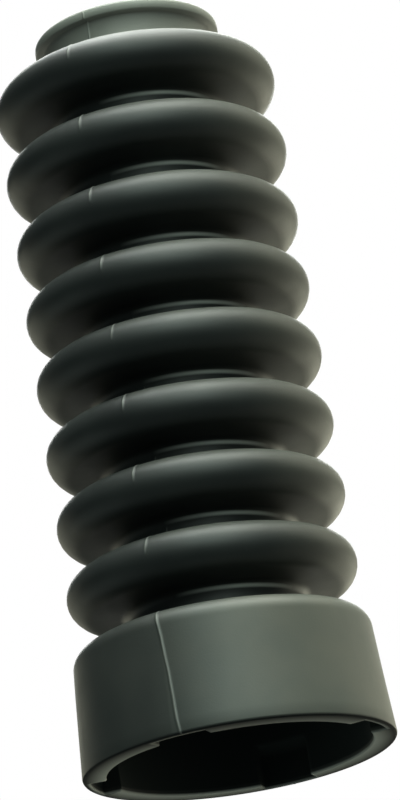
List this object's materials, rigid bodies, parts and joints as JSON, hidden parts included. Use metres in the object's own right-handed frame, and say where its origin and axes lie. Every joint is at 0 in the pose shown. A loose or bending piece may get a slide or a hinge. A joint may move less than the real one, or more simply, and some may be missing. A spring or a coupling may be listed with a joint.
{
  "type": "fork gaiter",
  "caption": "Moulded rubber bellows boot with a wide cylindrical cuff, evenly spaced rounded folds and a narrow lipped neck.",
  "frame": {"origin": "centre of the cuff's rim, at the base of the bounding box", "axes": "+Z along the bellows axis from the wide cuff to the narrow neck; -Y is the side the picture is taken from"},
  "size_m": [0.0708, 0.0708, 0.1772],
  "materials": {
    "rubber": "satin black moulded rubber"
  },
  "bodies": {
    "root": {"bellows": "rubber"}
  },
  "joints": []
}
